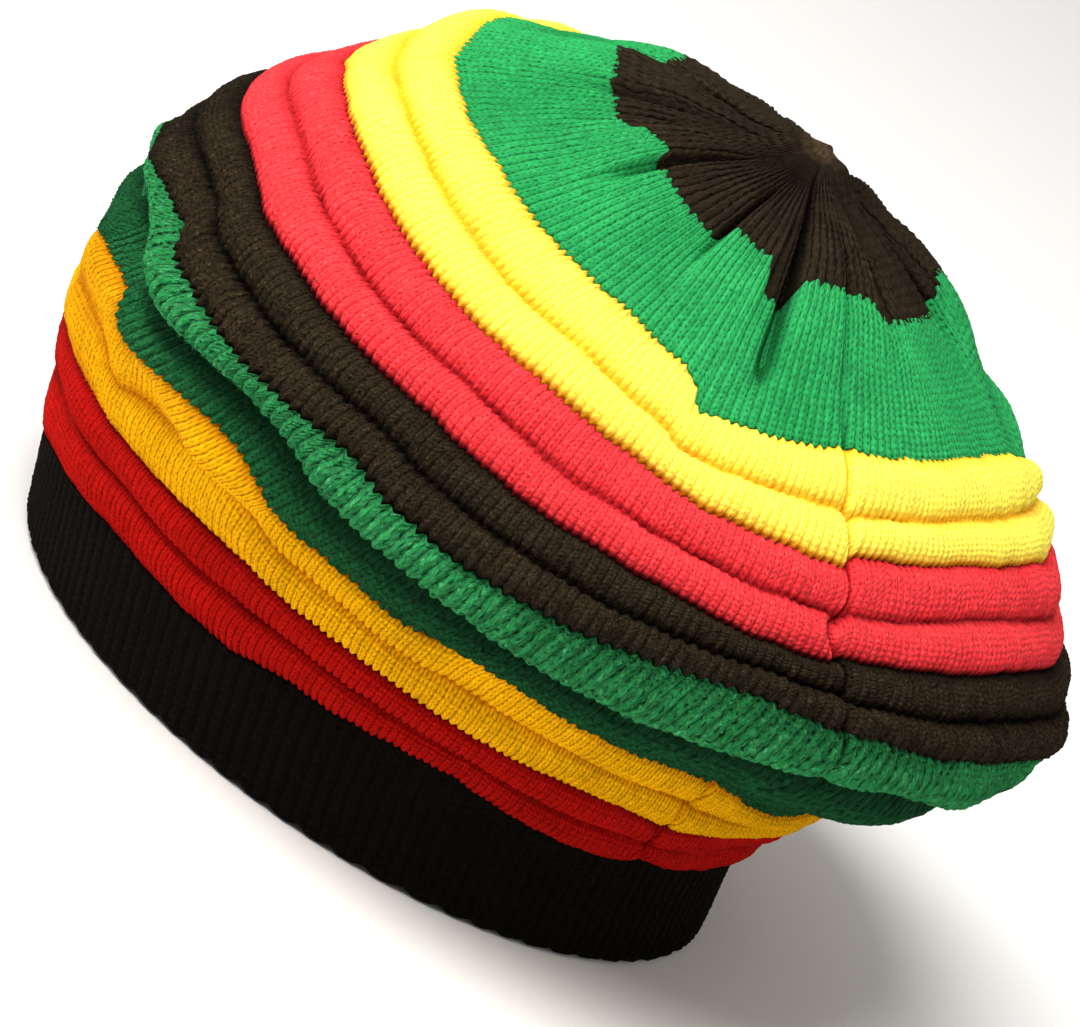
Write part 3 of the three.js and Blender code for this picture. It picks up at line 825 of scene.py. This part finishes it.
def knit_material(name):
    knit = dict(zip(KNIT_COLUMNS, KNITS[name]))
    uneven = knit["uneven"]
    fuzz = knit["fuzz"]
    g = Graph("knit_" + name)
    place = g.add("ShaderNodeTexCoord").outputs["Object"]
    stitch = g.add("ShaderNodeSeparateXYZ")
    g.links.new(g.add("ShaderNodeUVMap", uv_map="stitches").outputs["UV"], stitch.inputs[0])
    wale, row = stitch.outputs["X"], stitch.outputs["Y"]
    shade_mark = g.add("ShaderNodeAttribute", attribute_name="shade_mark").outputs["Fac"]

    # No column of stitches is straight, and no stitch is quite like the next.
    drift = g.math("SUBTRACT", g.noise(place, DRIFT_SCALE), 0.5)
    jitter = g.math("SUBTRACT", g.noise(place, JITTER_SCALE), 0.5)
    drift = g.math("MULTIPLY", drift, DRIFT_LEAST + DRIFT_UNEVEN * uneven)
    wale = g.math("ADD", wale, g.math("MULTIPLY_ADD", jitter, JITTER_ACROSS, drift))
    row = g.math("SUBTRACT", row, g.math("MULTIPLY_ADD", jitter, JITTER_ALONG, drift))
    strands, pit, slit = stitch_pattern(g, wale, row)
    streaks = fibre_pattern(g, wale, row)
    specks = g.noise(place, SPECK_SCALE, roughness=0.7)
    patches = g.noise(place, PATCH_SCALE, 3)
    tufts = g.noise(place, TUFT_SCALE, roughness=0.6)

    # Colour: painted shade in grooves, hollows and folds, from the marks on the mesh
    colour = g.mix(g.range(shade_mark, 0.0, knit["full"], 1.0, 0.0), knit["yarn"], knit["groove"])
    # Painted shade in the hole at each stitch's foot and in the slits between columns
    holes = g.math("MULTIPLY", pit, knit["holes"])
    dark = g.math("MAXIMUM", holes, g.math("MULTIPLY", slit, knit["slits"]), clamp=True)
    colour = g.mix(dark, colour, knit["hole_shade"])
    # Loose fibres: their lighter colour, partly painted highlight, only on the lit tops of rolls
    raised = g.range(shade_mark, *RAISED_RANGE, 0.0, 1.0)
    lit = g.math("MULTIPLY", g.math("MULTIPLY", streaks, FIBRE_COLOUR * fuzz), raised, clamp=True)
    colour = g.mix(lit, colour, knit["fibre"])
    colour = g.mix(g.range(shade_mark, *NUB_LIGHT_RANGE, 0.0, NUB_LIGHT_SHARE), colour, knit["fibre"])
    unevenness = g.math("ADD", g.math("ADD", specks, patches), g.math("MULTIPLY", tufts, TUFT_TONE * uneven))
    middle = 1.0 + TUFT_TONE / 2 * uneven
    tone = g.math("MULTIPLY_ADD", g.math("SUBTRACT", unevenness, middle), TONE_STRENGTH, 1.0)
    colour = g.mix(1.0, colour, g.vector(tone, tone, tone), "MULTIPLY")

    # Relief
    height = g.math("MULTIPLY", strands, knit["ribs"])
    height = g.math("SUBTRACT", height, g.math("MULTIPLY", dark, HOLE_RELIEF))
    height = g.math("ADD", height, g.math("MULTIPLY", streaks, FIBRE_RELIEF * fuzz))
    height = g.math("ADD", height, g.math("MULTIPLY", specks, SPECK_RELIEF))
    height = g.math("ADD", height, g.math("MULTIPLY", tufts, TUFT_RELIEF * uneven))
    relief = g.add("ShaderNodeBump")
    relief.inputs["Strength"].default_value = knit["bump"]
    relief.inputs["Distance"].default_value = BUMP_DISTANCE
    g.links.new(height, relief.inputs["Height"])

    shader = g.add("ShaderNodeBsdfPrincipled")
    g.links.new(colour, shader.inputs["Base Color"])
    g.links.new(relief.outputs[0], shader.inputs["Normal"])
    shader.inputs["Roughness"].default_value = KNIT_ROUGHNESS
    shader.inputs["Specular IOR Level"].default_value = KNIT_SPECULAR
    shader.inputs["Sheen Weight"].default_value = knit["sheen"]
    shader.inputs["Sheen Roughness"].default_value = SHEEN_ROUGHNESS
    shader.inputs["Sheen Tint"].default_value = knit["fibre"]
    out = g.add("ShaderNodeOutputMaterial")
    g.links.new(shader.outputs[0], out.inputs["Surface"])
    return g.material


def build_cap():
    for index, band in enumerate(BANDS):
        piece = knit_band(index)
        piece.data.materials.append(knit_material(KNIT_OF[band["node"]]))
        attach(piece, "root")
        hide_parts(band["node"])


# The camera looks at the wearer's back left from low down, and is rolled as in the photograph
VIEW_AZIMUTH = 127.0
VIEW_ELEVATION = 18.0
VIEW_ROLL = 33.0
VIEW_DISTANCE = 1600.0   # mm
VIEW_TARGET = (-2.8, 1.3, 68.0)
PIXELS_PER_MM = 4.2
FRAME_WIDTH = 1080       # pixels
SENSOR = 36.0            # mm
VIEW_REACH = 50.0        # metres

# Lights: azimuth and elevation in degrees, distance and size in metres, power in watts, and colour
LIGHTS = {
    "key": (90, 60, 1.6, 1.3, 42, (1.0, 0.98, 0.95)),
    "fill": (40, 30, 2.0, 1.2, 21, (1.0, 0.97, 0.92)),
    "side": (210, 28, 2.2, 1.4, 6, (1.0, 0.98, 0.95)),
}
LIGHT_AIM = (0, 0, 0.09)
WORLD_COLOUR = (1.0, 0.985, 0.97, 1)
WORLD_STRENGTH = 0.38
FLOOR_HALF = 12.0        # metres
FLOOR_COLOUR = (0.86, 0.855, 0.85, 1)
FLOOR_ROUGHNESS = 0.95
FLOOR_SPECULAR = 0.1


def direction(azimuth, elevation):
    """The way from the middle to a place round it and above it."""
    a, e = math.radians(azimuth), math.radians(elevation)
    return (math.sin(a) * math.cos(e), -math.cos(a) * math.cos(e), math.sin(e))


def view_axes():
    """The camera's right, its up and the way back to it, after its roll."""
    a, r = math.radians(VIEW_AZIMUTH), math.radians(VIEW_ROLL)
    back = np.array(direction(VIEW_AZIMUTH, VIEW_ELEVATION))
    right = np.array([math.cos(a), math.sin(a), 0.0])
    up = np.cross(back, right)
    return (math.cos(r) * right + math.sin(r) * up, -math.sin(r) * right + math.cos(r) * up, back)


def add_camera():
    x, y, back = view_axes()
    place = (np.array(VIEW_TARGET) + back * VIEW_DISTANCE) * MM
    data = bpy.data.cameras.new("camera")
    data.sensor_width = SENSOR
    data.lens = PIXELS_PER_MM * VIEW_DISTANCE * SENSOR / FRAME_WIDTH
    data.clip_end = VIEW_REACH
    camera = bpy.data.objects.new("camera", data)
    rows = np.eye(4)
    rows[:3, 0], rows[:3, 1], rows[:3, 2], rows[:3, 3] = x, y, back, place
    camera.matrix_world = Matrix(rows.tolist())
    bpy.context.scene.collection.objects.link(camera)
    bpy.context.scene.camera = camera


def add_light(name, azimuth, elevation, distance, size, power, colour):
    way = Vector(direction(azimuth, elevation))
    data = bpy.data.lights.new(name, "AREA")
    data.shape = "DISK"
    data.size = size
    data.energy = power
    data.color = colour
    light = bpy.data.objects.new(name, data)
    light.location = way * distance + Vector(LIGHT_AIM)
    light.rotation_euler = way.to_track_quat("Z", "Y").to_euler()
    bpy.context.scene.collection.objects.link(light)


def add_floor():
    half = FLOOR_HALF
    mesh = bpy.data.meshes.new("floor")
    corners = [(-half, -half, 0), (half, -half, 0), (half, half, 0), (-half, half, 0)]
    mesh.from_pydata(corners, [], [(0, 1, 2, 3)])
    floor = bpy.data.objects.new("floor", mesh)
    bpy.context.scene.collection.objects.link(floor)
    g = Graph("floor")
    shader = g.add("ShaderNodeBsdfPrincipled")
    shader.inputs["Base Color"].default_value = FLOOR_COLOUR
    shader.inputs["Roughness"].default_value = FLOOR_ROUGHNESS
    shader.inputs["Specular IOR Level"].default_value = FLOOR_SPECULAR
    out = g.add("ShaderNodeOutputMaterial")
    g.links.new(shader.outputs[0], out.inputs["Surface"])
    mesh.materials.append(g.material)


def add_world():
    world = bpy.data.worlds.new("studio")
    world.use_nodes = True
    background = world.node_tree.nodes["Background"]
    background.inputs["Color"].default_value = WORLD_COLOUR
    background.inputs["Strength"].default_value = WORLD_STRENGTH
    bpy.context.scene.world = world


bpy.context.scene.view_settings.view_transform = "Standard"
add_camera()
build_cap()
add_floor()
add_world()
for name, light in LIGHTS.items():
    add_light(name, *light)
